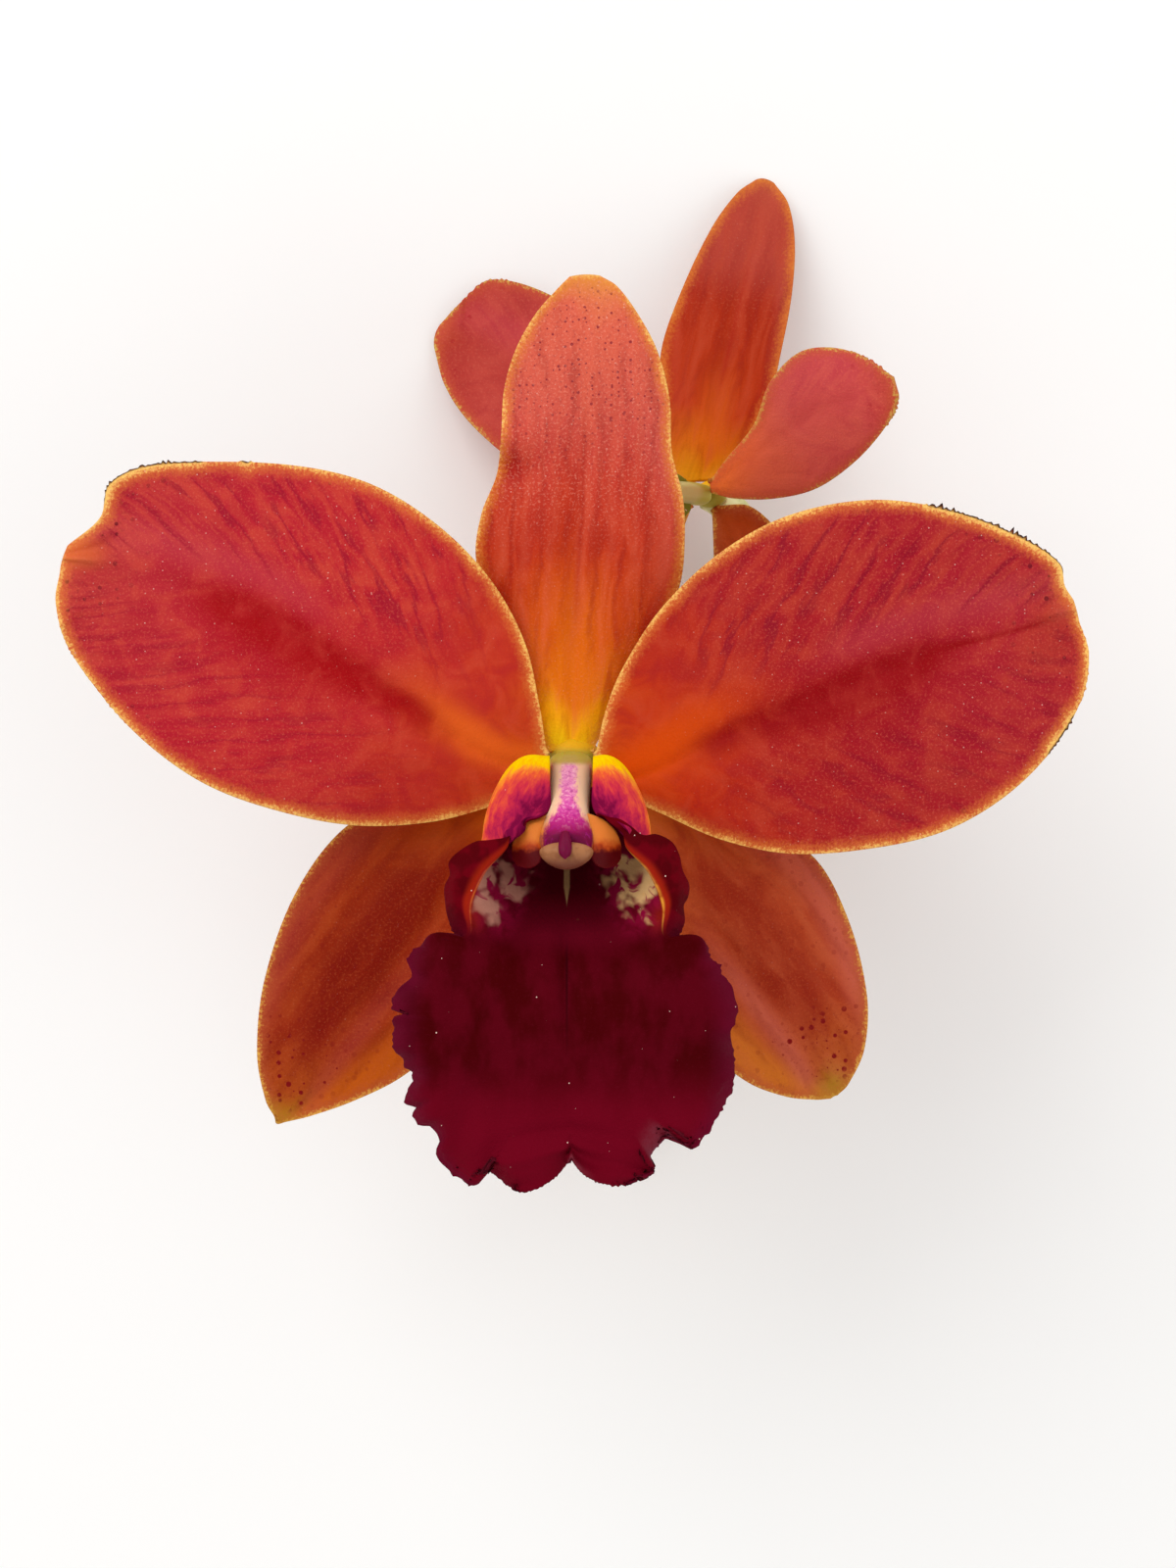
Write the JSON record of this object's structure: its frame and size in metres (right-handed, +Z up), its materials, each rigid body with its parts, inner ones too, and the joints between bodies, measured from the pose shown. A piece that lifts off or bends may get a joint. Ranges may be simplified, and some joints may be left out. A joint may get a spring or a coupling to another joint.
{
  "type": "cattleya orchid spray",
  "caption": "Picked orchid spray: a large open bloom with a frilled, rolled lip above a smaller turned bloom, joined by curved pedicels to a short cut stalk.",
  "frame": {"origin": "on the surface the spray lies on, below the middle of its outline", "axes": "+Z up, out of the front bloom's face; +Y from the cut stalk towards the front bloom's dorsal sepal; +X to the front bloom's right as it is looked down on"},
  "size_m": [0.094, 0.1074, 0.0714],
  "materials": {
    "petal": "crimson and orange veined petal with a soft waxy sheen and a yellow rim",
    "dorsal_sepal": "orange-red sepal, salmon at its tip and yellow at its base, softly waxy",
    "lateral_sepal": "brownish orange sepal with a darker band along its middle, softly waxy",
    "lip": "velvety dark crimson lip with yellow and magenta sides",
    "column": "peach and magenta, waxy and slightly shiny",
    "anther_cap": "cream and waxy",
    "stalk": "fresh green stem, smooth and waxy",
    "bract": "dry tan scale, matt"
  },
  "bodies": {
    "root": {"front_dorsal_sepal": "dorsal_sepal", "front_lateral_sepal_left": "lateral_sepal", "front_lateral_sepal_right": "lateral_sepal", "front_petal_left": "petal", "front_petal_right": "petal", "front_lip": "lip", "front_column": "column", "front_anther_cap": "anther_cap", "front_ovary": "stalk", "rear_dorsal_sepal": "dorsal_sepal", "rear_lateral_sepal_left": "lateral_sepal", "rear_lateral_sepal_right": "lateral_sepal", "rear_petal_left": "petal", "rear_petal_right": "petal", "rear_lip": "lip", "rear_column": "column", "rear_anther_cap": "anther_cap", "rear_ovary": "stalk", "peduncle": "stalk", "front_bract": "bract", "rear_bract": "bract"}
  },
  "joints": []
}
